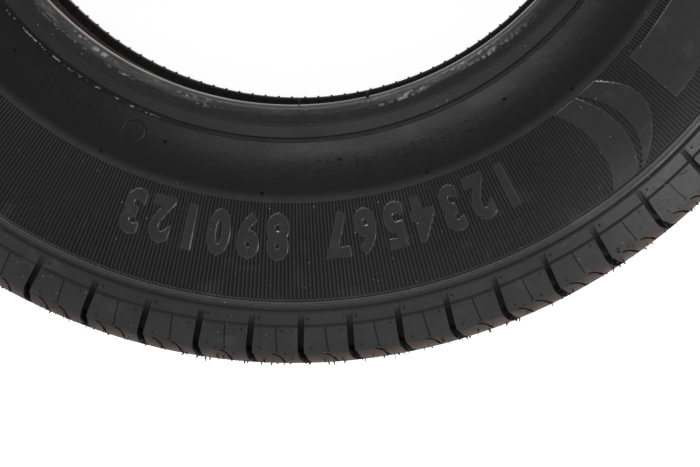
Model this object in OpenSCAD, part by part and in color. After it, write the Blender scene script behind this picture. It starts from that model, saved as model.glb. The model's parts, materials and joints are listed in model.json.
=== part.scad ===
// Radial trailer tyre for a 13 inch van rim, off its rim.
// It lies on its rear sidewall: the spin axis is +Z, the front sidewall faces +Z,
// and the origin is the middle of the tyre on its spin axis.
// One moulded solid: its section is revolved, then the tread is cut into it.

/* [Overall size] */
// Outer diameter over the middle of the tread, without pressure
tyre_d = 589; // [577:1:601]
// Section width, over both bulging sidewalls
section_w = 165; // [158:1:172]
// Height of the widest line of the sidewall above the bead seat
widest_h = 64.6; // [60:0.1:70]
// Width of the tread between its two shoulder corners
tread_w = 120; // [116:1:124]
// How far the tread falls from its middle to a shoulder corner
crown_drop = 3.5; // [2.5:0.5:7]
// Radius that rounds a shoulder corner
shoulder_round = 11; // [8:0.5:13]

/* [Beads] */
// Bore of the bead seats
bead_d = 328.8; // [327:0.1:331]
// Distance between the outer faces of the two beads
bead_span = 114.3; // [110:0.1:118]
// Width of a bead along the axis
bead_w = 12.5; // [11.5:0.1:14]
// Radius of the bead heel
heel_round = 4.5; // [3:0.1:6]
// Bevel of the bead toe
toe_bevel = 0.8; // [0.4:0.1:1.5]
// Height of the bead face above the seat, up to the parting line
face_h = 9.9; // [8:0.1:11]
// How far the bead face leans out over its height
face_lean = 0.8; // [0.4:0.1:1.5]
// Height of the rim line above the seat
rim_line_h = 16; // [14:0.1:18]
// How far the rim line stands out from the bead face
rim_line_out = 4.4; // [3.5:0.1:5.5]

/* [Casing] */
// Radius that the sidewall bulges with, from its widest line out
side_round = 107.7; // [95:0.1:120]
// Wall of the sidewall at its widest line
wall = 6.5; // [5.5:0.1:7.5]
// How much tighter the liner curves in towards the bead than the sidewall does
apex = 6; // [4:0.5:8]
// Rubber and belts from the top of the tread down to the liner
crown_t = 16.5; // [15:0.1:18]
// Radius of the liner where the crown turns into the sidewall
liner_round = 38; // [32:1:42]

/* [Sidewall rings] */
// Width of the groove at the rim line
rim_groove_w = 1.1; // [0.7:0.1:1.6]
// Width of the fine raised line beside that groove
fine_line_w = 0.9; // [0.5:0.1:1.4]
// How far the protector ring at the top of the sidewall lies in from the top of the tread
ring_in = 34.7; // [33.5:0.1:38]
// Thickness of the ring
ring_t = 2.2; // [1.4:0.1:2.6]
// Width of the smooth hollow outside the ring
hollow_w = 4; // [3:0.1:5]
// Depth of that hollow
hollow_depth = 0.6; // [0.5:0.1:1.3]
// How far the step between the shoulder ledge and the shoulder blocks lies in from there
step_in = 23; // [21:0.1:26]
// Height of that step
step_h = 0.7; // [0.4:0.1:1.2]

/* [Tread] */
// Depth of the tread grooves
tread_depth = 7.8; // [6:0.1:8.6]
// Width of each groove that runs around the tread
groove_w = 7; // [5:0.5:9]
// How far each groove wall slopes back over its depth
groove_draft = 1.2; // [0.4:0.1:2]
// Distance of the outer grooves from the middle of the tread
groove_z = 25; // [23:0.5:28]
// Number of shoulder blocks around each side
blocks = 63; // [48:1:68]
// Angle by which the block lengths swing to and fro, to quieten the tyre
pitch_swing = 1.73; // [0:0.01:2.5]
// Number of such swings in one turn
pitch_waves = 4; // [2:1:6]
// Where the first slot lies in such a swing, in degrees
pitch_start = 18.5; // [0:0.5:90]
// Angle of the first slot
first_slot = -43.86; // [-90:0.01:90]
// Width of the slot between two shoulder blocks
slot_w = 3.1; // [2.4:0.1:4]
// How much shallower the slots are than the grooves
slot_rise = 1.2; // [0.5:0.1:2]
// Angle that slots and sipes take across the tread
slot_angle = 28; // [20:1:40]
// Width of a sipe
sipe_w = 0.7; // [0.5:0.1:1]
// Depth of a sipe in the tread
sipe_depth = 5; // [3:0.1:6]
// Depth of a sipe in the side of its block
side_sipe_depth = 1.5; // [1:0.1:2.5]

/* [Hidden] */
$fn = 96;
rubber = [0.16, 0.16, 0.165];
over = 3;                                  // how far a cutter runs past a surface
tyre_r = tyre_d / 2;
bead_r = bead_d / 2;
side_z = section_w / 2;
widest_r = bead_r + widest_h;
bead_z = bead_span / 2;
toe_z = bead_z - bead_w;
face_top = [bead_r + face_h, bead_z + face_lean];
rim_line = [bead_r + rim_line_h, bead_z + rim_line_out];

// The crown is one arc, centred on the middle plane
corner = [tyre_r - crown_drop, tread_w / 2];
crown_r = corner[1] * corner[1] / (2 * crown_drop) + crown_drop / 2;
crown_c = [tyre_r - crown_r, 0];
function crown_x(z) = crown_c[0] + sqrt(crown_r * crown_r - z * z);

// The sidewall is two arcs that meet at the widest line
rim_line_fall = side_z - rim_line[1];
low_r = (pow(widest_r - rim_line[0], 2) + pow(rim_line_fall, 2)) / (2 * rim_line_fall);
low_c = [widest_r, side_z - low_r];
high_c = [widest_r, side_z - side_round];
function low_z(r) = low_c[1] + sqrt(low_r * low_r - pow(r - widest_r, 2));
function high_z(r) = high_c[1] + sqrt(side_round * side_round - pow(r - widest_r, 2));

// The shoulder runs straight from the hollow to the corner, with a step on the way
ring_r = tyre_r - ring_in;
ledge_r = ring_r + ring_t / 2 + hollow_w;
ledge = [ledge_r, high_z(ledge_r)];
face_dir = (corner - ledge) / norm(corner - ledge);
face_out = [-face_dir[1], face_dir[0]];
step_foot = ledge + face_dir * (tyre_r - step_in - ledge_r) / face_dir[0];
step_top = step_foot + (face_out + face_dir) * step_h;

// The round of the shoulder corner touches the blocks' side and the crown
corner_a = angle_of(face_out)
    - acos((face_out * (step_top - crown_c) - shoulder_round) / (crown_r - shoulder_round));
round_c = crown_c + (crown_r - shoulder_round) * [cos(corner_a), sin(corner_a)];
round_start = round_c + face_out * shoulder_round;
round_end = crown_c + crown_r * [cos(corner_a), sin(corner_a)];

// The liner is an arc up to the widest line, one beyond it, a round and the arc of the crown.
// The round touches both its neighbours, and stays outside the widest line.
liner_z = side_z - wall;
liner_low_r = low_r - wall - apex;
liner_low_c = [widest_r, liner_z - liner_low_r];
liner_high_r = side_round - wall;
liner_crown_r = crown_r - crown_t;
liner_room = (pow(liner_crown_r, 2) - pow(widest_r - crown_c[0], 2) - pow(liner_z, 2))
    / (2 * (liner_crown_r - liner_z));
liner_bend = min(liner_round, 0.9 * liner_room);
liner_c = meet(high_c, liner_high_r - liner_bend, crown_c, liner_crown_r - liner_bend);
liner_foot_a = 180 - asin((toe_z - liner_low_c[1]) / liner_low_r);
liner_foot = widest_r + liner_low_r * cos(liner_foot_a);

// Small rings and the hollow
fine_line_r = rim_line[0] + rim_groove_w / 2 + fine_line_w;
hollow_r = (hollow_w * hollow_w / 4 + hollow_depth * hollow_depth) / (2 * hollow_depth);

// Cuts in the tread. They turn to lean across it where the shoulder starts to round.
slot_depth = tread_depth - slot_rise;
turn_z = round_start[1];
slot_run = (turn_z - groove_z) / cos(slot_angle);
sipe_run = slot_run / 2;
rib_run = groove_z / cos(slot_angle);
slot_start = ledge + face_dir;
sipe_start = step_top - face_out * side_sipe_depth;

// Point at distance ra from a and rb from b, on the outer side of the line from b to a
function meet(a, ra, b, rb) =
    let (d = norm(b - a),
         along = (ra * ra - rb * rb + d * d) / (2 * d),
         up = sqrt(ra * ra - along * along),
         u = (b - a) / d)
    a + along * u + up * [u[1], -u[0]];

function angle_of(v) = atan2(v[1], v[0]);

// Points along an arc in n steps, its first point left out
function arc(c, r, from, to, n) =
    [for (i = [1:n]) let (a = from + (to - from) * i / n) c + r * [cos(a), sin(a)]];

// Angle of slot k, with the swing of the pitches
function slot_a(k) =
    let (turn = -360 * k / blocks)
    first_slot + turn + pitch_swing * sin(pitch_waves * turn - pitch_start);

module band(r0, r1) {
    translate([r0, 0]) square([r1 - r0, side_z + over]);
}

// Outer outline of the front half of the section, in [radius, height]
module outline() {
    polygon([[bead_r, 0], [rim_line[0], 0], rim_line, face_top,
             [bead_r + heel_round, bead_z], [bead_r, bead_z - heel_round]]);
    translate([bead_r + heel_round, bead_z - heel_round]) circle(heel_round);
    intersection() {
        translate(low_c) circle(low_r);
        band(rim_line[0] - over, widest_r);
    }
    intersection() {
        translate(high_c) circle(side_round);
        band(widest_r, ledge_r);
    }
    polygon(concat([[ledge_r, 0], [tyre_r, 0]],
                   arc(crown_c, crown_r, 0, corner_a, 4),
                   arc(round_c, shoulder_round, corner_a, angle_of(face_out), 3),
                   [step_top, step_foot, ledge]));
    translate([ring_r, high_z(ring_r)]) circle(ring_t / 2);
    translate([fine_line_r, low_z(fine_line_r)]) circle(fine_line_w / 2);
}

// Space inside the front half: the bore through the bead and the hollow of the casing
module cavity() {
    polygon(concat(
        [[0, 0], [0, toe_z + toe_bevel + over], [bead_r - over, toe_z + toe_bevel + over],
         [bead_r + toe_bevel, toe_z], [liner_foot, toe_z]],
        arc(liner_low_c, liner_low_r, liner_foot_a, 90, 6),
        arc(high_c, liner_high_r, 90, angle_of(liner_c - high_c), 2),
        arc(liner_c, liner_bend, angle_of(liner_c - high_c), angle_of(liner_c - crown_c), 5),
        arc(crown_c, liner_crown_r, angle_of(liner_c - crown_c), 0, 3)));
}

// Grooves that run around the tyre, on the front half
module rings_cut() {
    groove(0);
    groove(groove_z);
    translate(rim_line) circle(rim_groove_w / 2);
    translate([ledge_r - hollow_w / 2, high_z(ledge_r - hollow_w / 2) + hollow_r - hollow_depth])
        circle(hollow_r);
}

module groove(z) {
    floor_r = crown_x(z) - tread_depth;
    foot = (groove_w - groove_draft) / 2;
    mouth = (groove_w + groove_draft) / 2;
    polygon([[floor_r, z - foot], [tyre_r + over, z - mouth],
             [tyre_r + over, z + mouth], [floor_r, z + foot]]);
}

module section() {
    difference() {
        outline();
        cavity();
        rings_cut();
    }
}

// Flat cutter of thickness w in the plane of angle a, from points in [radius, height]
module slab(a, w, points) {
    rotate([90, 0, a]) linear_extrude(w, center = true) polygon(points);
}

// Cut of width w across a shoulder. Seen from outside it comes down the side and then turns to
// lean for run. Seen along the tyre its floor goes from start below the side, the round and the crown.
module shoulder_cut(a, w, depth, start, run) {
    mitre = w / 2 * tan(slot_angle / 2);
    across = [cos(slot_angle), sin(slot_angle)] * w / 2;
    end = [run * sin(slot_angle), turn_z - run * cos(slot_angle)];
    floor_end = end[1] - w;
    rotate(a) intersection() {
        rotate([90, 0, 90]) linear_extrude(tyre_r + over)
            polygon([[-w / 2, side_z], [-w / 2, turn_z - mitre], end - across, end + across,
                     [w / 2, turn_z + mitre], [w / 2, side_z]]);
        slab(0, 2 * end[0] + 2 * w,
             [start, round_start - face_out * depth, round_end - [depth, 0],
              [crown_x(floor_end) - depth, floor_end], [tyre_r + over, floor_end],
              [tyre_r + over, side_z], start + face_out * 2 * over]);
    }
}

// Slot between two shoulder blocks: it runs out into the ledge and opens into the outer groove
module slot(a) {
    shoulder_cut(a, slot_w, slot_depth, slot_start, slot_run);
}

// Sipe in the middle of a shoulder block, from its step over the corner into the tread
module sipe(a) {
    shoulder_cut(a, sipe_w, sipe_depth, sipe_start, sipe_run);
}

// Sipe across both middle ribs, from one outer groove to the other
module rib_sipe(a) {
    rotate(a) rotate([slot_angle, 0, 0])
        slab(0, sipe_w, [[tyre_r - sipe_depth, rib_run], [tyre_r - sipe_depth, -rib_run],
                         [tyre_r + over, -rib_run], [tyre_r + over, rib_run]]);
}

module shoulder_cuts() {
    for (k = [0:blocks - 1]) {
        slot(slot_a(k));
        sipe((slot_a(k) + slot_a(k + 1)) / 2);
    }
}

module tyre() color(rubber) {
    difference() {
        rotate_extrude() {
            section();
            mirror([0, 1]) section();
        }
        shoulder_cuts();
        rotate([180, 0, 0]) shoulder_cuts();
        for (k = [0:blocks - 1]) rib_sipe(slot_a(k));
    }
}

tyre();
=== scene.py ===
"""Looks of a moulded radial trailer tyre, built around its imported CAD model.

The tyre lies on its rear sidewall, its spin axis is +Z and the origin is its middle.
Shapes are worked out in millimetres in the half section [radius, height] and turned to metres last.
"""
import json
import math
import random

import bmesh
import bpy
import numpy as np
from mathutils import Matrix, Vector


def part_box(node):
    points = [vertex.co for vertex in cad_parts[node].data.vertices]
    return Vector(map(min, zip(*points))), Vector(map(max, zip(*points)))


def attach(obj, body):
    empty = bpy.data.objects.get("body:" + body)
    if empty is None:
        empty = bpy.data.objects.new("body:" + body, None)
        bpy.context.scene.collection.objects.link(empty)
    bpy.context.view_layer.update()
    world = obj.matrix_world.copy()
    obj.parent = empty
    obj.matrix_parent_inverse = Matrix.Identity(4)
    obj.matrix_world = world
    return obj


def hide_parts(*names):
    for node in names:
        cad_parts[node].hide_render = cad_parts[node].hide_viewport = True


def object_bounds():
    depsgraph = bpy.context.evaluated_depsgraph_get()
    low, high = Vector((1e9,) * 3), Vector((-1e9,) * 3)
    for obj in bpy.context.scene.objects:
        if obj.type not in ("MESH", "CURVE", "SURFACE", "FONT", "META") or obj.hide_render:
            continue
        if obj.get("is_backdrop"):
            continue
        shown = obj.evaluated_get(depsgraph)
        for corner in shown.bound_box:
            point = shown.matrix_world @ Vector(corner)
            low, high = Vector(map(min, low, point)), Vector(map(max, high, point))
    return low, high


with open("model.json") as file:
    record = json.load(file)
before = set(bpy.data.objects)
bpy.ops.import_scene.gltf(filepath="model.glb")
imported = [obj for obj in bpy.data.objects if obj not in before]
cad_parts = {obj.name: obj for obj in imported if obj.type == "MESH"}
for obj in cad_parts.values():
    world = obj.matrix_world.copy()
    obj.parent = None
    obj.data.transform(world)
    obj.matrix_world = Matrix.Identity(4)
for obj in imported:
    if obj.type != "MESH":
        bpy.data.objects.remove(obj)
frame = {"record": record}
cad_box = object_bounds()

MM = 0.001

# Overall sizes
TYRE_R = 294.5
SIDE_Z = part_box("tyre")[1].z / MM
WIDEST_R = 229.0
SIDE_ROUND = 107.7
TREAD_W = 120.0
CROWN_DROP = 3.5
SHOULDER_ROUND = 11.0

# Beads
BEAD_R = frame["record"]["mounts"][0]["dims"]["r_mm"]
BEAD_Z = 57.15
BEAD_W = 12.5
HEEL_ROUND = 4.5
TOE_BEVEL = 0.8
FACE_TOP = (BEAD_R + 9.9, BEAD_Z + 0.8)
RIM_LINE = (BEAD_R + 16.0, BEAD_Z + 4.4)
SEAT_RIBS = 150
SEAT_RIB_W = 1.5
SEAT_RIB_H = 0.6
TOE_FILM = 4.6

# Casing
WALL = 6.5
APEX = 6.0
CROWN_T = 16.5
LINER_ROUND = 38.0

# Rings of the sidewall
RIM_GROOVE_W = 1.1
FINE_LINE_W = 0.9
RING_R = 259.8
RING_T = 2.2
HOLLOW_W = 4.0
HOLLOW_DEPTH = 0.6
CREASE_R = 263.3
CREASE_HALF_W = 0.45
CREASE_DEPTH = 0.4
STEP_R = 271.5
STEP_H = 0.7

# Ribbed band of the sidewall
BAND_R0, BAND_R1 = 210.9, 258.55
BAND_BED = 0.6
BAND_RISE = 0.12
BAND_FOOT = -0.9
RIB_COUNT = 816
RIB_DEPTH = 0.55
RIB_TOP = 0.40
RIB_WALL = 0.08
PLATE_RISE = 0.2
PLATE_FOOT = -0.5
PLATE_SLOPE = 0.85

# Tread
TREAD_DEPTH = 7.8
GROOVE_W = 7.0
GROOVE_DRAFT = 1.2
GROOVE_Z = 25.0
BLOCKS = 63
PITCH_SWING = 1.73
PITCH_WAVES = 4
PITCH_START = 18.5
FIRST_SLOT = -43.86
SLOT_W = 3.1
SLOT_DEPTH = TREAD_DEPTH - 1.2
SLOT_LEAN = math.tan(math.radians(28.0))
SIDE_DRIFT = math.tan(math.radians(3.0))
SIPE_W = 0.7
SIPE_DEPTH = 5.0
SIDE_SIPE_W = 0.45
SIDE_SIPE_DEPTH = 1.2
SIDE_SIPE_BEND = 0.0028
HOOK_SWEEP = 0.0145
TREAD_TINT_R = 285.5
LONG_BLOCK = 5.55
SECTORS = 8
FIRST_SEAM = -48.2

# Hairs of flash along the edge of the tread
HAIRS_PER_BLOCK = 16
THICK_HAIR = (0.35, 0.6)
THIN_HAIR = (0.14, 0.24)

# Mesh
OVER = 3.0
COLUMNS = 252
SHARP_ANGLE = 30.0


# Section geometry

def arc(centre, radius, start, end, steps):
    """Points along an arc from start to end, in radians, both ends included."""
    turn = np.linspace(start, end, steps + 1)
    return [(centre[0] + radius * math.cos(a), centre[1] + radius * math.sin(a)) for a in turn]


def on_ledge(s, rise):
    """Point of the ledge's plane at distance s from its start, raised by rise."""
    return tuple(LEDGE[i] + FACE_DIR[i] * s + FACE_OUT[i] * rise for i in (0, 1))


def angle_to(centre, point):
    return math.atan2(point[1] - centre[1], point[0] - centre[0])


RIM_FALL = SIDE_Z - RIM_LINE[1]
LOW_R = ((WIDEST_R - RIM_LINE[0]) ** 2 + RIM_FALL ** 2) / (2 * RIM_FALL)
LOW_C = (WIDEST_R, SIDE_Z - LOW_R)
HIGH_C = (WIDEST_R, SIDE_Z - SIDE_ROUND)
HALF_TREAD = TREAD_W / 2
CORNER = (TYRE_R - CROWN_DROP, HALF_TREAD)
CROWN_R = HALF_TREAD ** 2 / (2 * CROWN_DROP) + CROWN_DROP / 2
CROWN_C = (TYRE_R - CROWN_R, 0.0)
LEDGE_R = RING_R + RING_T / 2 + HOLLOW_W
FINE_LINE_R = RIM_LINE[0] + RIM_GROOVE_W / 2 + FINE_LINE_W


def wall_z(r):
    """Height of the plain sidewall arcs at radius r."""
    radius, centre = (LOW_R, LOW_C) if r < WIDEST_R else (SIDE_ROUND, HIGH_C)
    return centre[1] + math.sqrt(radius ** 2 - (r - centre[0]) ** 2)


def round_bump(r, centre, half_width, height):
    """Height that a rounded line adds at radius r."""
    t = (r - centre) / half_width
    return height * math.sqrt(1 - t * t) if abs(t) < 1 else 0.0


LEDGE = (LEDGE_R, wall_z(LEDGE_R))
FACE_LENGTH = math.dist(CORNER, LEDGE)
FACE_DIR = ((CORNER[0] - LEDGE[0]) / FACE_LENGTH, (CORNER[1] - LEDGE[1]) / FACE_LENGTH)
FACE_OUT = (-FACE_DIR[1], FACE_DIR[0])
STEP_S = (STEP_R - LEDGE_R) / FACE_DIR[0]
STEP_FOOT = (STEP_R, LEDGE[1] + FACE_DIR[1] * STEP_S)
STEP_TOP = (STEP_FOOT[0] + (FACE_OUT[0] + FACE_DIR[0]) * STEP_H,
            STEP_FOOT[1] + (FACE_OUT[1] + FACE_DIR[1]) * STEP_H)
FACE_ANGLE = math.atan2(FACE_OUT[1], FACE_OUT[0])
CORNER_REACH = FACE_OUT[0] * (STEP_TOP[0] - CROWN_C[0]) + FACE_OUT[1] * (STEP_TOP[1] - CROWN_C[1])
CORNER_ANGLE = FACE_ANGLE - math.acos((CORNER_REACH - SHOULDER_ROUND) / (CROWN_R - SHOULDER_ROUND))
ROUND_C = (CROWN_C[0] + (CROWN_R - SHOULDER_ROUND) * math.cos(CORNER_ANGLE),
           (CROWN_R - SHOULDER_ROUND) * math.sin(CORNER_ANGLE))


def circles_meet(a, radius_a, b, radius_b):
    """Point at the two distances from a and b, on the outer side of the line from b to a."""
    d = math.dist(a, b)
    along = (radius_a ** 2 - radius_b ** 2 + d * d) / (2 * d)
    up = math.sqrt(radius_a ** 2 - along ** 2)
    u = ((b[0] - a[0]) / d, (b[1] - a[1]) / d)
    return (a[0] + along * u[0] + up * u[1], a[1] + along * u[1] - up * u[0])


def crown_r_at(z):
    return CROWN_C[0] + math.sqrt(CROWN_R ** 2 - z * z)


def sidewall_stations():
    """Radii where the sidewall's section has a point, close together where its lines are."""
    ring_half = RING_T / 2
    stations = [RIM_LINE[0] + RIM_GROOVE_W / 2 + 0.02]
    stations += list(np.linspace(FINE_LINE_R - FINE_LINE_W / 2, FINE_LINE_R + FINE_LINE_W / 2, 5))
    stations += list(np.arange(186.0, BAND_R0 - 1, 4.0))
    stations += [BAND_R0 - 0.06, BAND_R0]
    stations += list(np.arange(BAND_R0 + 6, BAND_R1 - 2, 6.0))
    stations += [BAND_R1 - 0.06, BAND_R1]
    stations += list(RING_R - ring_half * np.cos(np.linspace(0, math.pi, 9)))
    stations += list(np.linspace(RING_R + ring_half + 0.05, CREASE_R - 0.5, 4))
    stations += [CREASE_R - 0.2, CREASE_R + 0.2]
    stations += list(np.linspace(CREASE_R + 0.5, LEDGE_R, 3))
    return stations


def sidewall_height(r):
    """Height of the moulded sidewall at radius r, with its lines, hollow and band."""
    z = wall_z(r)
    z += round_bump(r, FINE_LINE_R, FINE_LINE_W / 2, FINE_LINE_W / 2)
    z += round_bump(r, RING_R, RING_T / 2, RING_T / 2)
    z -= HOLLOW_DEPTH * max(0.0, 1 - (2 * (LEDGE_R - r) / HOLLOW_W - 1) ** 2) if r > RING_R else 0.0
    z -= round_bump(r, CREASE_R, CREASE_HALF_W, CREASE_DEPTH)
    if BAND_R0 - 0.01 <= r <= BAND_R1 - 0.05:
        z -= BAND_BED
    return z


RUBBER, TREAD_SKIN, LINER, BEAD_SKIN, PAINTED_HIGHLIGHT, GROOVE_SHADE = range(6)


def outer_half():
    """Outer outline of the front half from the toe to the middle of the tread, with the material
    of the stretch that starts at each point."""
    heel_c = (BEAD_R + HEEL_ROUND, BEAD_Z - HEEL_ROUND)
    bead = [(BEAD_R + TOE_BEVEL, BEAD_Z - BEAD_W), (BEAD_R, BEAD_Z - BEAD_W + TOE_BEVEL),
            (BEAD_R, BEAD_Z - BEAD_W + 3 * TOE_BEVEL)]
    bead += arc(heel_c, HEEL_ROUND, math.pi, math.pi / 2, 6)
    bead += [(FACE_TOP[0] + across, FACE_TOP[1] + up)
             for across, up in ((-0.4, -0.05), (-0.2, 0.2), (0.2, 0.2), (0.4, 0.2))]
    groove = arc(RIM_LINE, RIM_GROOVE_W / 2, math.radians(212), math.radians(400), 6)
    side = [(r, sidewall_height(r)) for r in sidewall_stations()]
    step_line = [on_ledge(STEP_S - back, rise) for back, rise in ((0.8, 0), (0.6, -0.45), (0.15, -0.45))]
    corner = arc(ROUND_C, SHOULDER_ROUND, FACE_ANGLE, CORNER_ANGLE, 8)
    points = [(p, BEAD_SKIN) for p in bead]
    # The ring's inner flank gets a highlight painted into its colour.
    points += [(p, PAINTED_HIGHLIGHT if -1.0 < p[0] - RING_R < -0.1 else RUBBER)
               for p in groove + side + step_line + [STEP_TOP]]
    points += [(p, TREAD_SKIN if p[0] >= TREAD_TINT_R - 0.4 else RUBBER) for p in corner]
    return points + [(p, TREAD_SKIN) for p in crown_points()]


def crown_points():
    """The crown from its corner to the middle, with the outer groove and half of the middle one."""
    foot = (GROOVE_W - GROOVE_DRAFT) / 2
    mouth = (GROOVE_W + GROOVE_DRAFT) / 2
    start = ROUND_C[1] + SHOULDER_ROUND * math.sin(CORNER_ANGLE)

    def groove(z):
        floor = crown_r_at(z) - TREAD_DEPTH
        return [(crown_r_at(z + mouth), z + mouth), (floor + 1, z + foot + 0.1), (floor, z + foot - 1),
                (floor, z - foot + 1), (floor + 1, z - foot - 0.1), (crown_r_at(z - mouth), z - mouth)]

    points = [(crown_r_at(z), z) for z in np.linspace(start, GROOVE_Z + mouth, 6)[1:-1]]
    points += groove(GROOVE_Z)
    points += [(crown_r_at(z), z) for z in np.linspace(GROOVE_Z - mouth, mouth, 4)[1:-1]]
    return points + groove(0)[:3]


def liner_half():
    """Inner outline of the front half, from the middle of the liner to the toe's foot."""
    low_r = LOW_R - WALL - APEX
    low_c = (WIDEST_R, SIDE_Z - WALL - low_r)
    high_r = SIDE_ROUND - WALL
    crown_r = CROWN_R - CROWN_T
    centre = circles_meet(HIGH_C, high_r - LINER_ROUND, CROWN_C, crown_r - LINER_ROUND)
    toe_z = BEAD_Z - BEAD_W
    foot = (WIDEST_R - math.sqrt(low_r ** 2 - (toe_z - low_c[1]) ** 2), toe_z)
    to_crown = angle_to(CROWN_C, centre)
    to_side = angle_to(HIGH_C, centre)
    points = arc(CROWN_C, crown_r, 0, to_crown, 3)
    points += arc(centre, LINER_ROUND, to_crown, to_side, 8)[1:]
    points += arc(HIGH_C, high_r, to_side, math.pi / 2, 3)[1:]
    return points + arc(low_c, low_r, math.pi / 2, angle_to(low_c, foot), 8)[1:]


def whole_section():
    """Closed outline of the section, and the material of the face after each point."""
    outer = outer_half()
    rear = [((p[0], -p[1]), m) for p, m in reversed(outer)]
    liner = [(p, LINER) for p in liner_half()]
    liner.append(((BEAD_R + TOE_FILM, BEAD_Z - BEAD_W), BEAD_SKIN))
    liner_rear = [((p[0], -p[1]), LINER) for p, m in reversed(liner[1:])]
    loop = outer + rear + liner_rear + liner
    return [p for p, m in loop], [m for p, m in loop]


# Mesh building

def mesh_object(name, verts, faces, materials, face_materials=None):
    """Object from points in millimetres, smooth apart from edges sharper than SHARP_ANGLE."""
    mesh = bpy.data.meshes.new(name)
    mesh.from_pydata((np.asarray(verts, float) * MM).tolist(), [], faces)
    for material in materials:
        mesh.materials.append(material)
    if face_materials is not None:
        mesh.polygons.foreach_set("material_index", face_materials)
    turn_faces_outward(mesh)
    finish_shading(mesh)
    obj = bpy.data.objects.new(name, mesh)
    bpy.context.scene.collection.objects.link(obj)
    return obj


def turn_faces_outward(mesh):
    grid = bmesh.new()
    grid.from_mesh(mesh)
    bmesh.ops.recalc_face_normals(grid, faces=grid.faces)
    grid.to_mesh(mesh)
    grid.free()


def finish_shading(mesh):
    mesh.polygons.foreach_set("use_smooth", [True] * len(mesh.polygons))
    mesh.set_sharp_from_angle(angle=math.radians(SHARP_ANGLE))
    mesh.update()


def around(columns):
    return np.linspace(0, 2 * math.pi, columns, endpoint=False)


def revolve(section, labels, columns):
    """Points, faces and labels of a closed section turned about the axis."""
    section = np.asarray(section)
    verts = [point_on(r, z, a) for a in around(columns) for r, z in section]
    faces, face_labels = [], []
    for c in range(columns):
        faces += loop_faces(c * len(section), (c + 1) % columns * len(section), len(section))
        face_labels += labels
    return verts, faces, face_labels


def loop_faces(here, there, n):
    """Faces between two closed loops of n points each."""
    return [(here + i, here + (i + 1) % n, there + (i + 1) % n, there + i) for i in range(n)]


class Parts:
    """Gathers closed pieces into one mesh."""

    def __init__(self):
        self.verts = []
        self.faces = []

    def add(self, verts, faces):
        first = len(self.verts)
        self.verts += [tuple(v) for v in verts]
        self.faces += [tuple(first + i for i in f) for f in faces]

    def add_loops(self, loops):
        """Adds a closed piece from a row of loops, each the same number of points."""
        n = len(loops[0])
        faces = [tuple(reversed(range(n)))]
        for i in range(len(loops) - 1):
            faces += loop_faces(i * n, (i + 1) * n, n)
        faces.append(tuple(range((len(loops) - 1) * n, len(loops) * n)))
        self.add([p for loop in loops for p in loop], faces)

    def rear(self):
        """The same pieces turned about the X axis, onto the rear half."""
        turned = Parts()
        turned.add([(x, -y, -z) for x, y, z in self.verts], self.faces)
        return turned

    def both_sides(self):
        whole = self.rear()
        whole.add(self.verts, self.faces)
        return whole


def point_on(r, z, angle):
    return np.array([r * math.cos(angle), r * math.sin(angle), z])


def shoulder(s):
    """Point and outward direction in the section, at distance s down the shoulder from the ledge."""
    straight = (ROUND_C[0] - LEDGE[0]) * FACE_DIR[0] + (ROUND_C[1] - LEDGE[1]) * FACE_DIR[1]
    corner_s = SHOULDER_ROUND * (FACE_ANGLE - CORNER_ANGLE)
    if s < straight:
        return on_ledge(s, STEP_H), FACE_OUT
    if s < straight + corner_s:
        a = FACE_ANGLE - (s - straight) / SHOULDER_ROUND
        centre, radius = ROUND_C, SHOULDER_ROUND
    else:
        a = CORNER_ANGLE - (s - straight - corner_s) / CROWN_R
        centre, radius = CROWN_C, CROWN_R
    out = (math.cos(a), math.sin(a))
    return (centre[0] + radius * out[0], centre[1] + radius * out[1]), out


def sidewall(r):
    """Point and outward direction in the section, at radius r of the sidewall."""
    radius, centre = (LOW_R, LOW_C) if r < WIDEST_R else (SIDE_ROUND, HIGH_C)
    z = wall_z(r)
    return (r, z), ((r - centre[0]) / radius, (z - centre[1]) / radius)


def shoulder_s(want, axis):
    """Distance down the shoulder where its radius (axis 0) or height (axis 1) is the wanted one."""
    low, high = 0.0, 90.0
    rising = axis == 0
    for _ in range(40):
        mid = (low + high) / 2
        if (shoulder(mid)[0][axis] < want) == rising:
            low = mid
        else:
            high = mid
    return (low + high) / 2


def bar(path):
    """Closed bar along the shoulder. Each station is (s, angle, depth, rise, width)."""
    floor, top, loops = [], [], []
    for s, angle, depth, rise, _ in path:
        (r, z), out = shoulder(s)
        floor.append(point_on(r - out[0] * depth, z - out[1] * depth, angle))
        top.append(point_on(r + out[0] * rise, z + out[1] * rise, angle))
    for i, (*_, width) in enumerate(path):
        before, after = max(i - 1, 0), min(i + 1, len(path) - 1)
        along = floor[after] - floor[before] + top[after] - top[before]
        side = np.cross(along, top[i] - floor[i])
        side *= width / 2 / np.linalg.norm(side)
        loops.append([floor[i] - side, floor[i] + side, top[i] + side, top[i] - side])
    return loops


def prism(place, angle, radius, depth, rise, sides=8):
    """Loops of a small upright prism at a place given as (point, outward direction)."""
    (r, z), (out_r, out_z) = place
    out = point_on(out_r, out_z, angle)
    along = point_on(1, 0, angle + math.pi / 2)
    across = np.cross(out, along)
    centre = point_on(r, z, angle)
    ring = [radius * (along * math.cos(a) + across * math.sin(a)) for a in around(sides)]
    return [[centre - out * depth + p for p in ring], [centre + out * rise + p for p in ring]]


def thread(points, radii, sides=5):
    """Loops of a tube through points, with a radius at each."""
    loops = []
    for i, point in enumerate(points):
        along = points[min(i + 1, len(points) - 1)] - points[max(i - 1, 0)]
        side = np.cross(along, (0.3, 0.2, 0.9))
        side /= np.linalg.norm(side)
        other = np.cross(along, side)
        other /= np.linalg.norm(other)
        loops.append([point + radii[i] * (side * math.cos(a) + other * math.sin(a))
                      for a in around(sides)])
    return loops


# Cuts in the tread

def slot_angle(k):
    """Angle of slot k in degrees, with the swing of the block lengths."""
    turn = -360.0 * k / BLOCKS
    swing = math.sin(math.radians(PITCH_WAVES * turn - PITCH_START))
    return FIRST_SLOT + turn + PITCH_SWING * swing


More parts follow.
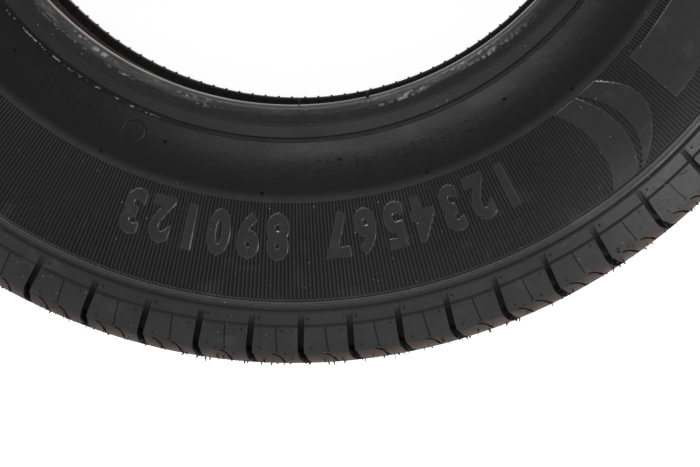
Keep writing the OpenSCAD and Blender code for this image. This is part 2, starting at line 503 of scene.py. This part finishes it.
def blocks():
    """Start angle and length of each shoulder block of one side, in degrees."""
    for k in range(BLOCKS):
        start = slot_angle(k + 1)
        yield start, slot_angle(k) - start


S_TURN = shoulder_s(ROUND_C[0] + SHOULDER_ROUND * FACE_OUT[0], 0)
S_TINT = shoulder_s(TREAD_TINT_R, 0)
S_STEP = shoulder_s(STEP_R, 0)
S_GROOVE = shoulder_s(GROOVE_Z, 1)


def lean(s):
    """Angle that the cuts have shifted by at distance s down the shoulder, in radians."""
    bend = 1.5
    past = s - S_TURN
    turned = 0.5 * (past + math.sqrt(past * past + bend * bend))
    return (turned * (SLOT_LEAN + SIDE_DRIFT) - (s - S_TURN / 2) * SIDE_DRIFT) / TYRE_R


def slot_path(angle):
    path = []
    for s in np.concatenate([np.linspace(0.4, S_TURN - 2, 5), np.linspace(S_TURN, S_GROOVE, 8)]):
        depth = STEP_H + (SLOT_DEPTH - STEP_H) * min(1.0, s / (0.7 * S_TURN))
        path.append((s, angle + lean(s), depth, OVER, SLOT_W))
    return path


def side_sipe_path(angle):
    """The fine sipe down the side of a block, which curves a little before it ends."""
    start, end = S_STEP + 0.9, S_TINT - 0.6
    return [(start + (end - start) * t, angle + SIDE_SIPE_BEND * t * t, SIDE_SIPE_DEPTH, OVER, SIDE_SIPE_W)
            for t in np.linspace(0, 1, 5)]


def hook_path(angle):
    """A hooked sipe: it starts along the edge of the tread and turns to lean across it."""
    start, turn_s, end = S_TINT + 0.8, S_TINT + 3.0, S_GROOVE - 6
    path = []
    for t in np.linspace(0, 1, 5):
        s = start + (turn_s - start) * t * t
        path.append((s, angle - HOOK_SWEEP * (1 - t), SIPE_DEPTH * (0.25 + 0.55 * t), OVER, SIPE_W))
    for s in np.linspace(turn_s, end, 6)[1:]:
        path.append((s, angle + (s - turn_s) * SLOT_LEAN / TYRE_R, SIPE_DEPTH * 0.8, OVER, SIPE_W))
    return path


def rib_sipe_path(angle):
    """Sipe across both middle ribs."""
    middle = shoulder_s(0.0, 1)
    reach = S_GROOVE - 1
    return [(s, angle + (s - middle) * SLOT_LEAN / TYRE_R, SIPE_DEPTH, OVER, SIPE_W)
            for s in np.linspace(reach, 2 * middle - reach, 9)]


def gather(all_loops):
    parts = Parts()
    for loops in all_loops:
        parts.add_loops(loops)
    return parts


# Vents, each row as radius, count and angle of the first
VENT_ROWS = ((191.5, 14, -57.1), (206.7, 16, -48.75))
RIM_VENTS = (181.7, 14, -61.8)
VENT_HOLE_R = 1.0
VENT_HOLE_DEPTH = 0.9


def vent_places(rows):
    for r, count, first in rows:
        for k in range(count):
            yield r, math.radians(first - 360.0 * k / count)


def cutters():
    """Gatherings of cutters. Within each, no two touch."""
    slots = gather(bar(slot_path(math.radians(slot_angle(k)))) for k in range(BLOCKS))
    fine = []
    for start, length in blocks():
        places = (0.36, 0.70) if length > LONG_BLOCK else (0.60,)
        fine.append(bar(side_sipe_path(math.radians(start + 0.5 * length))))
        fine += [bar(hook_path(math.radians(start + p * length))) for p in places]
    fine += [prism(sidewall(r), a, VENT_HOLE_R, VENT_HOLE_DEPTH, 1.0) for r, a in vent_places(VENT_ROWS)]
    ribs = gather(bar(rib_sipe_path(math.radians(slot_angle(k)))) for k in range(BLOCKS))
    return [slots.both_sides(), gather(fine).both_sides(), ribs]


def cut(obj, parts, name):
    """Cuts the gathered closed pieces out of obj."""
    labels = [GROOVE_SHADE] * len(parts.faces)
    cutter = mesh_object(name, parts.verts, parts.faces, list(obj.data.materials), labels)
    modifier = obj.modifiers.new(name, "BOOLEAN")
    modifier.operation = "DIFFERENCE"
    modifier.solver = "EXACT"
    modifier.object = cutter
    graph = bpy.context.evaluated_depsgraph_get()
    result = bpy.data.meshes.new_from_object(obj.evaluated_get(graph))
    obj.modifiers.clear()
    old = obj.data
    obj.data = result
    bpy.data.meshes.remove(old)
    bpy.data.objects.remove(cutter)


# Ribbed band of the sidewall and what lies flush in it

def above_wall(r, angle, rise):
    """Point above the sidewall's arc at radius r."""
    (r, z), out = sidewall(r)
    return point_on(r + out[0] * rise, z + out[1] * rise, angle)


def ribbed_band():
    """Closed annulus whose top carries fine grooves that all point to the axis."""
    pitch = 2 * math.pi / RIB_COUNT
    crest, floor = BAND_RISE, BAND_RISE - RIB_DEPTH
    columns = [(0.0, crest), (RIB_TOP, crest), (RIB_TOP + RIB_WALL, floor), (1 - RIB_WALL, floor)]
    radii = np.append(np.linspace(BAND_R0, BAND_R1 - 0.6, 9), BAND_R1)
    n = len(radii) + 2
    verts, faces = [], []
    for k in range(RIB_COUNT):
        for fraction, height in columns:
            angle = (k + fraction) * pitch
            verts += [above_wall(r, angle, height) for r in radii[:-1]]
            verts.append(above_wall(BAND_R1, angle, crest))
            verts += [above_wall(BAND_R1, angle, BAND_FOOT), above_wall(BAND_R0, angle, BAND_FOOT)]
    for c in range(RIB_COUNT * len(columns)):
        faces += loop_faces(c * n, (c + 1) % (RIB_COUNT * len(columns)) * n, n)
    parts = Parts()
    parts.add(verts, faces)
    return parts


def quadratic(r, through):
    """Value at r of the parabola through three (radius, value) points."""
    total = 0.0
    for i, (ri, value) in enumerate(through):
        for j, (rj, _) in enumerate(through):
            if i != j:
                value *= (r - rj) / (ri - rj)
        total += value
    return total


def sweep_plate(edge_a, edge_b, r0, r1, columns):
    """Loops of a smooth plate between two curved edges, each given by three (radius, degrees)."""
    loops = []
    for r in np.linspace(r0, r1, 18):
        start, end = (math.radians(quadratic(r, edge)) for edge in (edge_a, edge_b))
        end = max(end, start + 0.0005)
        skirt = PLATE_SLOPE / r
        foot_r = r + PLATE_SLOPE * (2 * (r - r0) / (r1 - r0) - 1)
        top = [above_wall(r, a, PLATE_RISE) for a in np.linspace(start, end, columns)]
        foot = [above_wall(foot_r, a, PLATE_FOOT) for a in np.linspace(end + skirt, start - skirt, columns)]
        loops.append(top + foot)
    return loops


# Plates: crescents by the (radius, degrees) of their edges, and a panel by its radii and angles
CRESCENTS = ((((211.0, -52.75), (232.6, -50.7), (259.2, -52.9)),
              ((211.0, -49.3), (232.1, -47.38), (259.2, -49.5))),
             (((211.7, -48.7), (232.0, -46.06), (259.3, -49.1)),
              ((211.7, -45.85), (231.4, -43.11), (259.3, -49.1))))
PANEL = (216.0, 244.5, -40.4, -14.0)

# Numbers: the large row, and small rows as inner and outer radius, start and end angle, aspect
MARKING = "1234567 890123"
MARKING_R0, MARKING_R1 = 215.9, 238.2
MARKING_START, MARKING_END = -60.7, -111.3
MARKING_ASPECT = 0.72
MARKING_WEIGHT = 0.038
FINE_PRINT = ((190.4, 196.4, -61.2, -81.0, 0.62), (190.4, 196.4, -82.0, -88.5, 0.62),
              (193.6, 199.4, -47.2, -55.0, 0.62), (190.0, 196.0, -117.5, -128.9, 0.62))
PRINT_PITCH = 4.9
PRINT_RISE = 0.16
PRINT_FOOT = -0.3
PRINT_SLOPE = 0.15


def glyph(character, weight):
    """Flat mesh of one character: points, faces and edge loops, in a box from 0 to 1 in height."""
    curve = bpy.data.curves.new("glyph", "FONT")
    curve.body = character
    curve.offset = weight
    curve.resolution_u = 3
    text = bpy.data.objects.new("glyph", curve)
    mesh = bpy.data.meshes.new_from_object(text)
    grid = bmesh.new()
    grid.from_mesh(mesh)
    bmesh.ops.remove_doubles(grid, verts=grid.verts, dist=1e-5)
    low = min(v.co.y for v in grid.verts)
    high = max(v.co.y for v in grid.verts)
    left = min(v.co.x for v in grid.verts)
    right = max(v.co.x for v in grid.verts)
    for t in np.linspace(0.017, 0.989, 9):
        geometry = list(grid.verts) + list(grid.edges) + list(grid.faces)
        bmesh.ops.bisect_plane(grid, geom=geometry, plane_co=(0, low + (high - low) * t, 0),
                               plane_no=(0, 1, 0))
    grid.verts.index_update()
    points = [((v.co.x - (left + right) / 2) / (high - low), (v.co.y - low) / (high - low))
              for v in grid.verts]
    faces = [[v.index for v in f.verts] for f in grid.faces]
    rim = []
    for edge in grid.edges:
        if len(edge.link_faces) == 1:
            loop = edge.link_loops[0]
            ends = [loop.vert.index, loop.link_loop_next.vert.index]
            rim.append(ends if edge.link_faces[0].normal.z > 0 else ends[::-1])
    grid.free()
    bpy.data.objects.remove(text)
    bpy.data.curves.remove(curve)
    bpy.data.meshes.remove(mesh)
    return points, faces, rim


def outward(points, rim):
    """For each point of an outline, the direction away from its shape, and zero for the others."""
    away = np.zeros((len(points), 2))
    for a, b in rim:
        run = points[b] - points[a]
        away[[a, b]] += np.array([run[1], -run[0]]) / np.linalg.norm(run)
    length = np.linalg.norm(away, axis=1, keepdims=True)
    return away / np.maximum(length, 0.3)


def add_glyph(parts, shape, r0, r1, angle, aspect, rise, foot, slope):
    """Adds a character that stands on radius r0 with its top outward, centred on angle.
    Its edges slope out to their foot."""
    flat, faces, rim = shape
    n = len(flat)
    points = np.array(flat) * [(r1 - r0) * aspect, r1 - r0]
    verts = []
    for level, grown in ((rise, 0.0), (foot, slope)):
        for x, y in points + outward(points, rim) * grown:
            verts.append(above_wall(r0 + y, angle - x * 2 / (r0 + r1), level))
    all_faces = faces + [[n + i for i in f] for f in faces]
    all_faces += [(b, a, n + a, n + b) for a, b in rim]
    parts.add(verts, all_faces)


def numbers(parts, text, r0, r1, start, end, aspect, rise, foot, slope, weight):
    """Adds plain counting numbers from start to end, in degrees."""
    shapes = {c: glyph(c, weight) for c in sorted(set(text) - {" "})}
    for i, character in enumerate(text):
        if character in shapes:
            angle = math.radians(start + (end - start) * (i + 0.5) / len(text))
            add_glyph(parts, shapes[character], r0, r1, angle, aspect, rise, foot, slope)


def flush_plates():
    """Crescents, an empty panel and the marking, which interrupt the fine grooves."""
    parts = Parts()
    for edge_a, edge_b in CRESCENTS:
        parts.add_loops(sweep_plate(edge_a, edge_b, BAND_R0 + 0.3, BAND_R1 - 0.2, 5))
    r0, r1, start, end = PANEL
    sides = [[(r, side) for r in (r0, (r0 + r1) / 2, r1)] for side in (start, end)]
    parts.add_loops(sweep_plate(*sides, r0, r1, 40))
    numbers(parts, MARKING, MARKING_R0, MARKING_R1, MARKING_START, MARKING_END,
            MARKING_ASPECT, PLATE_RISE, PLATE_FOOT, PLATE_SLOPE, MARKING_WEIGHT)
    return parts


def fine_print():
    """Rows of small plain numbers, raised a little on the lower sidewall."""
    parts = Parts()
    for r0, r1, start, end, aspect in FINE_PRINT:
        count = round(abs(end - start) * math.radians((r0 + r1) / 2) / PRINT_PITCH)
        text = "".join(str((i + 1) % 10) for i in range(count))
        numbers(parts, text, r0, r1, start, end, aspect, PRINT_RISE, PRINT_FOOT, PRINT_SLOPE, 0.0)
    return parts


# Small marks on the rubber

def round_mark(parts):
    """A plain raised ring on the lower sidewall."""
    centre_r, centre_a, radius, half = 191.9, math.radians(-113.3), 5.4, 0.45
    columns = 36
    loops = []
    for t in around(columns):
        loop = []
        for size, rise in ((radius - half, 0.0), (radius, 0.22), (radius + half, 0.0), (radius, -0.4)):
            r = centre_r + size * math.sin(t)
            loop.append(above_wall(r, centre_a + size * math.cos(t) / centre_r, rise))
        loops.append(loop)
    verts = [p for loop in loops for p in loop]
    faces = []
    for i in range(columns):
        faces += loop_faces(4 * i, 4 * ((i + 1) % columns), 4)
    parts.add(verts, faces)


def side_marks():
    """Vent stubs, sector seams, wear marks and the plain ring of one side."""
    parts = Parts()
    for start, length in blocks():
        for s, fraction, height in ((S_STEP + 3.2, 0.83, 0.7), (S_TINT - 2.4, 0.2, 0.7), (3.4, 0.16, 0.5),
                                    (S_TINT - 0.4, 0.5, 0.4)):
            angle = math.radians(start + fraction * length)
            parts.add_loops(prism(shoulder(s), angle, 0.38, 0.9, height, 6))
    for r, angle in vent_places([RIM_VENTS]):
        parts.add_loops(prism(sidewall(r), angle, 0.5, 0.4, 0.75))
    for k in range(SECTORS):
        angle = math.radians(FIRST_SEAM - 360.0 * k / SECTORS)
        seam = [(s, angle + 0.004 * math.sin(s / 9), STEP_H + 0.2, 0.14 if s > S_STEP else 0.14 - STEP_H, 0.4)
                for s in np.linspace(0.4, S_TINT, 12)]
        parts.add_loops(bar(seam))
        wear = math.radians(FIRST_SEAM + 2.2 - 360.0 * k / SECTORS)
        parts.add_loops(prism(shoulder(S_STEP + 3.5), wear, 1.7, 0.3, 0.35, 3))
    round_mark(parts)
    return parts


def seat_ribs():
    """Fine ribs across a bead seat, along the axis."""
    parts = Parts()
    z0, z1 = BEAD_Z - BEAD_W + 1.6, BEAD_Z - HEEL_ROUND
    for k in range(SEAT_RIBS):
        angle = 2 * math.pi * k / SEAT_RIBS
        half = SEAT_RIB_W / 2 / BEAD_R
        low, high = BEAD_R + 0.5, BEAD_R - SEAT_RIB_H
        loop = [(low, -half), (high, -half * 0.5), (high, half * 0.5), (low, half)]
        parts.add_loops([[point_on(r, z, angle + a) for r, a in loop] for z in (z0, z1)])
        toe = [(half, 0.4), (half * 0.5, -SEAT_RIB_H), (-half * 0.5, -SEAT_RIB_H), (-half, 0.4)]
        parts.add_loops([[point_on(r, BEAD_Z - BEAD_W + rise, angle + a) for a, rise in toe]
                         for r in (BEAD_R + TOE_BEVEL, BEAD_R + TOE_FILM - 0.3)])
    return parts


def add_hair(parts, dice, s, angle, length, radius):
    """Adds a thin thread of flash that stands off the shoulder."""
    (r, z), out = shoulder(s)
    base = point_on(r, z, angle)
    aim = point_on(out[0], out[1], angle) + np.array([dice.uniform(-0.6, 0.6) for _ in range(3)])
    aim /= np.linalg.norm(aim)
    bend = np.array([dice.uniform(-0.25, 0.25) for _ in range(3)]) * length
    points = [base - aim * 0.4, base + aim * length * 0.5, base + aim * length + bend]
    far = max(math.hypot(p[0], p[1]) for p in points)
    if far < TYRE_R - 0.1:
        parts.add_loops(thread(points, (radius, radius * 0.8, radius * 0.35)))


def hairs():
    """Flash threads along the edge of the tread, most of them at its cuts."""
    dice = random.Random(7)
    parts = Parts()
    for start, length in blocks():
        for _ in range(HAIRS_PER_BLOCK):
            at_cut = dice.choice((0.0, 0.03, 0.36, 0.70, 0.97))
            fraction = at_cut if dice.random() < 0.6 else dice.random()
            s = S_TINT + (dice.uniform(4, 9) if dice.random() < 0.6 else dice.uniform(-1, 14))
            angle = math.radians(start + fraction * length) + lean(s)
            thick = dice.random() < 0.5
            size = dice.uniform(0.7, 2.2) if thick else dice.uniform(0.8, 3.2)
            radius = dice.uniform(*(THICK_HAIR if thick else THIN_HAIR))
            add_hair(parts, dice, s, angle, size, radius)
    return parts


def bead_flash():
    """A bristle and a small lump of flash on the toe of the front bead."""
    parts = Parts()
    toe = BEAD_Z - HEEL_ROUND
    for angle, z, length, radius in ((-88.7, toe, 4.2, 0.32), (-76.9, toe - 1, 3.0, 1.0)):
        a = math.radians(angle)
        points = [point_on(BEAD_R + 0.6, z, a), point_on(BEAD_R - length * 0.5, z + 0.8, a + 0.002),
                  point_on(BEAD_R - length, z + 1.6, a - 0.003)]
        parts.add_loops(thread(points, (radius, radius * 0.8, radius * 0.4), 7))
    return parts


# Materials

class Graph:
    """Short hand for the nodes of one material."""

    def __init__(self, name):
        self.material = bpy.data.materials.new(name)
        self.material.use_nodes = True
        self.nodes = self.material.node_tree.nodes
        self.links = self.material.node_tree.links
        self.shader = self.nodes["Principled BSDF"]
        self.place = self.add("ShaderNodeTexCoord").outputs["Object"]

    def add(self, kind, inputs=None, **settings):
        """Adds a node. Inputs that are sockets are linked, others are set."""
        node = self.nodes.new(kind)
        for key, value in settings.items():
            setattr(node, key, value)
        for key, value in (inputs or {}).items():
            self.feed(node.inputs[key], value)
        return node

    def feed(self, socket, value):
        if isinstance(value, bpy.types.NodeSocket):
            self.links.new(value, socket)
        else:
            socket.default_value = value

    def math(self, operation, a, b=0.0):
        return self.add("ShaderNodeMath", {0: a, 1: b}, operation=operation).outputs[0]

    def noise(self, scale, detail=2.0, vector=None):
        inputs = {"Vector": vector or self.place, "Scale": scale, "Detail": detail}
        return self.add("ShaderNodeTexNoise", inputs).outputs[0]

    def between(self, value, low, high, to_low=0.0, to_high=1.0):
        """Value taken smoothly from the span low to high to the span to_low to to_high."""
        inputs = {"Value": value, "From Min": low, "From Max": high, "To Min": to_low, "To Max": to_high}
        return self.add("ShaderNodeMapRange", inputs, interpolation_type="SMOOTHSTEP").outputs[0]

    def mix(self, factor, a, b):
        return self.add("ShaderNodeMix", {0: factor, 6: a, 7: b}, data_type="RGBA").outputs[2]

    def polar(self):
        """Sockets with the angle about the axis in radians, the radius and the height in metres."""
        xyz = self.add("ShaderNodeSeparateXYZ", {0: self.place}).outputs
        angle = self.math("ARCTAN2", xyz[1], xyz[0])
        flat = self.add("ShaderNodeCombineXYZ", {0: xyz[0], 1: xyz[1]}).outputs[0]
        radius = self.add("ShaderNodeVectorMath", {0: flat}, operation="LENGTH").outputs["Value"]
        return angle, radius, xyz[2]

    def window(self, value, low, high, soft):
        """One between low and high, fading out over soft beyond them."""
        rise = self.between(value, low - soft, low)
        fall = self.between(value, high, high + soft, 1.0, 0.0)
        return self.math("MULTIPLY", rise, fall)

    def specks(self, scale, size, share):
        """Sparse small spots: the share of cells that hold one, and their size."""
        cells = self.add("ShaderNodeTexVoronoi", {"Vector": self.place, "Scale": scale})
        spot = self.between(cells.outputs["Distance"], size * 0.6, size, 1.0, 0.0)
        draw = self.add("ShaderNodeSeparateColor", {0: cells.outputs["Color"]}).outputs[0]
        return self.math("MULTIPLY", spot, self.math("LESS_THAN", draw, share))

    def grain(self, fine, coarse):
        """Bump from a fine grain and a coarser unevenness, each with its strength."""
        small = self.math("MULTIPLY", self.noise(2400.0, 3.0), fine)
        large = self.math("MULTIPLY", self.noise(260.0, 3.0), coarse)
        height = self.math("ADD", small, large)
        bump = self.add("ShaderNodeBump", {"Height": height, "Distance": 0.0003, "Strength": 1.0})
        self.links.new(bump.outputs[0], self.shader.inputs["Normal"])


# Tones of the rubber and of what lies on it
RUBBER_TONE = (0.0215, 0.0215, 0.022)
DUST = (0.36, 0.35, 0.34, 1.0)
SCUFFED = (0.34, 0.335, 0.33, 1.0)
# Lighter tone of a highlight painted on the front bead
HIGHLIGHT_TONE = (0.12, 0.121, 0.125, 1.0)
CHIPPED = (0.28, 0.28, 0.28, 1.0)
BARE = (0.03, 0.023, 0.02, 1.0)

# Zones of the sidewall and bead, by radius in metres
# Band between the rim line and the ribbed band where shade is painted into the colour
SHADED_INNER_ZONE = (0.183, 0.205)
CHIPPED_LINE = (0.1815, 0.1822)
SCUFFED_RIM = (0.1665, 0.1695)
# Band of the front bead where a highlight is painted into the colour
HIGHLIGHT_RIM = (0.1662, 0.1682)


def shade(rgb, factor):
    return (rgb[0] * factor, rgb[1] * factor, rgb[2] * factor, 1.0)


def rubber(name, color, roughness, fine=0.3, coarse=0.5, dust=0.08):
    """Moulded rubber: uneven tone and sheen, grain and a few specks of dust."""
    graph = Graph(name)
    tone = graph.between(graph.noise(14.0, 4.0), 0.3, 0.7)
    base = graph.mix(tone, shade(color, 0.82), shade(color, 1.2))
    mottle = graph.between(graph.noise(320.0, 3.0), 0.35, 0.7)
    base = graph.mix(graph.math("MULTIPLY", mottle, 0.3), base, shade(color, 1.5))
    chalk = graph.between(graph.noise(85.0, 7.0), 0.56, 0.74)
    base = graph.mix(graph.math("MULTIPLY", chalk, 0.7), base, shade(color, 2.3))
    for scale, size in ((420.0, 0.14), (190.0, 0.08)):
        base = graph.mix(graph.specks(scale, size, dust), base, DUST)
    sheen = graph.between(graph.noise(45.0, 3.0), 0.3, 0.7, roughness - 0.05, roughness + 0.07)
    graph.feed(graph.shader.inputs["Base Color"], base)
    graph.feed(graph.shader.inputs["Roughness"], sheen)
    graph.grain(fine, coarse)
    return graph, base


def bead_rubber():
    """Rubber of the bead. Its front has a painted highlight ring, and pale streaks where it was handled."""
    graph, base = rubber("bead_skin", (0.009, 0.009, 0.0095), 0.36, 0.18, 0.4, 0.06)
    angle, radius, height = graph.polar()
    spots = [graph.window(angle, math.radians(a), math.radians(b), 0.2)
             for a, b in ((-150, -112), (-72, -56))]
    # Arcs of the bead that carry both the real scuffs and the painted highlight
    scuffs_and_highlight_arcs = graph.math("ADD", graph.math("MAXIMUM", spots[0], spots[1]), 0.12)
    along = graph.add("ShaderNodeCombineXYZ", {0: graph.math("MULTIPLY", angle, 1.4),
                                               1: graph.math("MULTIPLY", radius, 60.0),
                                               2: graph.math("MULTIPLY", height, 60.0)}).outputs[0]
    streak = graph.between(graph.noise(6.0, 6.0, along), 0.46, 0.66)
    patchy = graph.between(graph.noise(420.0, 6.0), 0.46, 0.58)
    worn = graph.math("MULTIPLY", graph.math("MULTIPLY", streak, patchy), scuffs_and_highlight_arcs)
    front = graph.between(height, 0.0, 0.01)
    rim = graph.math("MULTIPLY", graph.window(radius, *SCUFFED_RIM, 0.0015), front)
    worn = graph.math("MULTIPLY", worn, rim)
    # A broad, streaky highlight painted on the front bead, strongest on those arcs
    highlight_streaks = graph.between(graph.noise(9.0, 8.0, along), 0.35, 0.7, 0.35, 1.0)
    bead_highlight = graph.math("MULTIPLY", graph.window(radius, *HIGHLIGHT_RIM, 0.0018), front)
    bead_highlight = graph.math("MULTIPLY", bead_highlight, highlight_streaks)
    bead_highlight = graph.math("MULTIPLY", bead_highlight, graph.between(scuffs_and_highlight_arcs, 0.12, 1.12, 0.3, 0.7))
    base = graph.mix(bead_highlight, base, HIGHLIGHT_TONE)
    graph.feed(graph.shader.inputs["Base Color"], graph.mix(worn, base, SCUFFED))
    graph.feed(graph.shader.inputs["IOR"], 1.5)
    return graph.material


def sidewall_rubber():
    """Rubber of the tyre, with shade painted between the rim line and the ribbed band: darker and less shiny
    there.
    """
    graph, base = rubber("rubber", RUBBER_TONE, 0.34)
    angle, radius, _ = graph.polar()
    inner_shade = graph.window(radius, *SHADED_INNER_ZONE, 0.006)
    line = graph.window(radius, *CHIPPED_LINE, 0.0001)
    left = graph.window(angle, math.radians(-142), math.radians(-113), 0.05)
    chips = graph.between(graph.noise(500.0, 4.0), 0.52, 0.6)
    chips = graph.math("MULTIPLY", graph.math("MULTIPLY", line, left), chips)
    # Painted shade: the inner band is darkened to 0.38 of the rubber tone.
    base = graph.mix(inner_shade, base, shade(RUBBER_TONE, 0.38))
    graph.feed(graph.shader.inputs["Base Color"], graph.mix(chips, base, CHIPPED))
    graph.feed(graph.shader.inputs["Specular IOR Level"], graph.between(inner_shade, 0.0, 1.0, 0.5, 0.25))
    return graph.material


def painted_highlight_edges():
    """Rubber of the ring's inner flank and of the small moulded slopes: glossier, with a lighter tone painted
    on as a highlight.
    """
    graph, _ = rubber("painted_highlight", (0.045, 0.045, 0.046), 0.30, 0.05, 0.1, 0.0)
    graph.feed(graph.shader.inputs["IOR"], 1.9)
    return graph.material


def groove_shade_rubber():
    """Rubber inside the cuts and fine grooves, where no hand and little light gets to: a little darker and
    less shiny, as painted shade.
    """
    graph, _ = rubber("groove", (0.02, 0.02, 0.0202), 0.5, 0.2, 0.2, 0.02)
    graph.feed(graph.shader.inputs["Specular IOR Level"], 0.25)
    return graph.material


def tread_skin():
    """Brown film on the tread, blotched and worn through to the rubber in places."""
    graph, base = rubber("tread_skin", (0.056, 0.034, 0.025), 0.62, 0.4, 0.5, 0.04)
    bare = graph.between(graph.noise(75.0, 5.0), 0.46, 0.62)
    bare = graph.math("MULTIPLY", bare, 0.65)
    graph.feed(graph.shader.inputs["Base Color"], graph.mix(bare, base, BARE))
    return graph.material


MATERIALS = [sidewall_rubber(),
             tread_skin(),
             # The liner is brown, and its tone is painted lighter than its own to make up for the dim light
             # inside the tyre.
             rubber("liner", (0.19, 0.12, 0.085), 0.5, 0.2, 0.5)[0].material,
             bead_rubber(),
             painted_highlight_edges(),
             groove_shade_rubber()]


# The tyre

def build_body():
    section, labels = whole_section()
    verts, faces, face_labels = revolve(section, labels, COLUMNS)
    body = mesh_object("tyre_body", verts, faces, MATERIALS, face_labels)
    for i, parts in enumerate(cutters()):
        cut(body, parts, f"cutters_{i}")
    finish_shading(body.data)
    return body


def paint_slopes_and_walls(obj):
    """Gives the small slopes of a flat relief the painted highlight, and steep walls the groove rubber with
    painted shade.
    """
    steep, sloping = 0.5, 0.93
    plain_slot, highlight_slot, groove_shade_slot = range(3)
    obj.data.materials.append(MATERIALS[PAINTED_HIGHLIGHT])
    obj.data.materials.append(MATERIALS[GROOVE_SHADE])
    normals = np.empty(len(obj.data.polygons) * 3)
    obj.data.polygons.foreach_get("normal", normals)
    up = np.abs(normals[2::3])
    labels = np.select([up < steep, up < sloping], [groove_shade_slot, highlight_slot], plain_slot)
    if obj.name.startswith("ribs"):
        # The third of a rib's four columns is the floor of its groove.
        column = np.arange(len(labels)) // (len(labels) // (4 * RIB_COUNT)) % 4
        labels[np.logical_and(column == 2, labels == plain_slot)] = groove_shade_slot
    obj.data.polygons.foreach_set("material_index", labels)
    obj.data.update()


def build_tyre():
    band, plates, print_rows = ribbed_band(), flush_plates(), fine_print()
    yield build_body()
    for name, parts in (("ribs_front", band), ("ribs_rear", band.rear()),
                        ("plates_front", plates), ("plates_rear", plates.rear()),
                        ("fine_print", print_rows.both_sides()), ("side_marks", side_marks().both_sides()),
                        ("seat_ribs", seat_ribs().rear()), ("hairs", hairs().both_sides()),
                        ("bead_flash", bead_flash())):
        material = MATERIALS[BEAD_SKIN if name in ("seat_ribs", "bead_flash") else RUBBER]
        piece = mesh_object(name, parts.verts, parts.faces, [material])
        if name.startswith(("ribs", "plates")):
            paint_slopes_and_walls(piece)
        yield piece


for piece in build_tyre():
    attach(piece, "root")
    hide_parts("tyre")


# Floor, lights and camera

FLOOR_SIZE = 6000.0
FLOOR_TONE = (0.9, 0.9, 0.9, 1)
FLOOR_GLOW = (0.85, 0.85, 0.85, 1)
ROOM_STRENGTH = 0.43


def build_floor():
    """A pale floor that looks white to the camera, apart from the shadow at the tyre's foot."""
    size = FLOOR_SIZE
    z = -SIDE_Z
    verts = [(-size, -size, z), (size, -size, z), (size, size, z), (-size, size, z)]
    material = bpy.data.materials.new("floor")
    material.use_nodes = True
    nodes, links = material.node_tree.nodes, material.node_tree.links
    shader = nodes["Principled BSDF"]
    shader.inputs["Base Color"].default_value = FLOOR_TONE
    shader.inputs["Roughness"].default_value = 0.9
    path = nodes.new("ShaderNodeLightPath")
    seen = path.outputs["Is Camera Ray"]
    for ray in ("Is Glossy Ray", "Is Transmission Ray"):
        either = nodes.new("ShaderNodeMath")
        either.operation = "ADD"
        either.use_clamp = True
        links.new(seen, either.inputs[0])
        links.new(path.outputs[ray], either.inputs[1])
        seen = either.outputs[0]
    shader.inputs["Emission Color"].default_value = FLOOR_GLOW
    links.new(seen, shader.inputs["Emission Strength"])
    floor = mesh_object("floor", verts, [(0, 1, 2, 3)], [material])
    floor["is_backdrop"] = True


def add_light(name, place, target, size, power):
    data = bpy.data.lights.new(name, "AREA")
    data.shape = "RECTANGLE"
    data.size, data.size_y = size
    data.energy = power
    light = bpy.data.objects.new(name, data)
    light.location = place
    aim = Vector(target) - Vector(place)
    light.rotation_euler = aim.to_track_quat("-Z", "Y").to_euler()
    bpy.context.scene.collection.objects.link(light)


def build_lights():
    world = bpy.data.worlds.new("room")
    bpy.context.scene.world = world
    world.use_nodes = True
    background = world.node_tree.nodes["Background"]
    background.inputs["Color"].default_value = (1, 1, 1, 1)
    background.inputs["Strength"].default_value = ROOM_STRENGTH
    add_light("above", (-0.5, 1.4, 0.29), (0.05, -0.25, 0.06), (1.8, 0.14), 11)
    add_light("right", (1.3, -0.9, 0.9), (0.1, -0.25, 0), (0.5, 0.5), 10)


# Camera: its place in metres, its turn about X and Y in radians, and its focal length in pixels
CAMERA_PLACE = (61.27 * MM, -99.43 * MM, 1710.4 * MM)
CAMERA_TURN = (-0.0771, 0.0196)
FOCAL_PX = 3378.0
PHOTO_W = 700
SENSOR = 36.0


def build_camera():
    data = bpy.data.cameras.new("camera")
    data.sensor_width = SENSOR
    data.lens = FOCAL_PX / PHOTO_W * SENSOR
    data.clip_end = 20
    camera = bpy.data.objects.new("camera", data)
    turn = Matrix.Rotation(CAMERA_TURN[1], 4, "Y") @ Matrix.Rotation(CAMERA_TURN[0], 4, "X")
    camera.matrix_world = Matrix.Translation(CAMERA_PLACE) @ turn
    bpy.context.scene.collection.objects.link(camera)
    bpy.context.scene.camera = camera


build_floor()
build_lights()
build_camera()
bpy.context.scene.view_settings.view_transform = "Standard"

[[list(corner) for corner in box] for box in (cad_box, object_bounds())]
